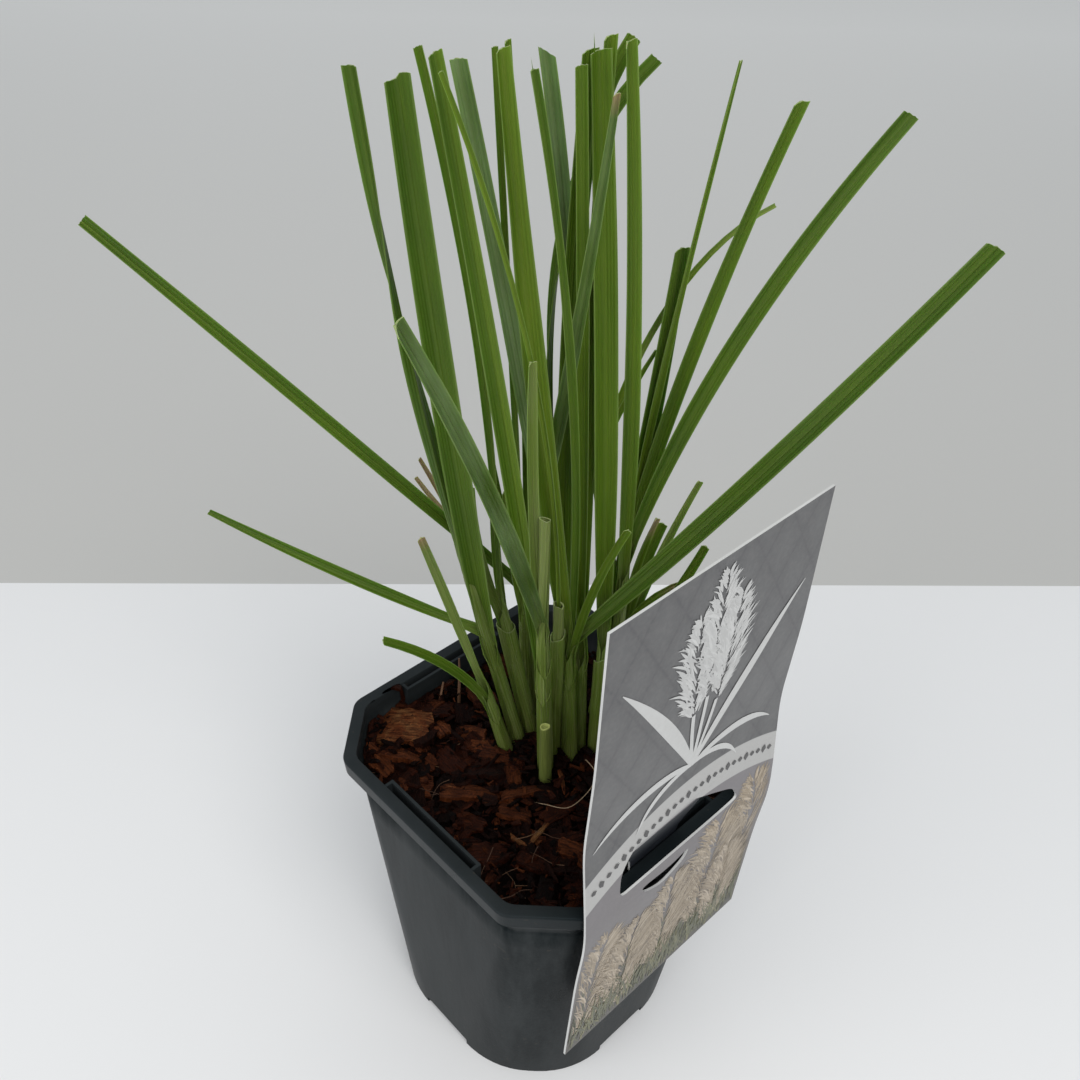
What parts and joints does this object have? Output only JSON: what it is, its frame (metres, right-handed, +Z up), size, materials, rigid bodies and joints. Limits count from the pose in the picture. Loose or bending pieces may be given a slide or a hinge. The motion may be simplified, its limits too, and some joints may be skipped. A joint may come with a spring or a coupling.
{
  "type": "potted ornamental grass",
  "caption": "Young ornamental grass with leaves trimmed to one length, in a square nursery pot with bark mulch and a plant label hooked over the rim.",
  "frame": {"origin": "on the ground, under the middle of the bounding box", "axes": "+Z up; the side of the pot that carries the label faces -Y"},
  "size_m": [0.1198, 0.1496, 0.2729],
  "materials": {
    "pot": "black injection-moulded polypropylene with a slight sheen",
    "soil": null,
    "bark": "moist shredded pine bark",
    "label": "printed plastic sheet with white cut edges",
    "culm": "freshly cut culm, pale green",
    "leaves": null
  },
  "bodies": {
    "root": {"pot": "pot", "potting_soil": "soil", "bark_mulch": "bark", "plant_label": "label", "cut_culm": "culm", "leafy_stem_01": "leaves", "leafy_stem_02": "leaves", "leafy_stem_03": "leaves", "leafy_stem_04": "leaves", "leafy_stem_05": "leaves", "leafy_stem_06": "leaves", "leafy_stem_07": "leaves", "leafy_stem_08": "leaves", "leafy_stem_09": "leaves", "leafy_stem_10": "leaves", "leafy_stem_11": "leaves", "leafy_stem_12": "leaves", "leafy_stem_13": "leaves"}
  },
  "joints": []
}
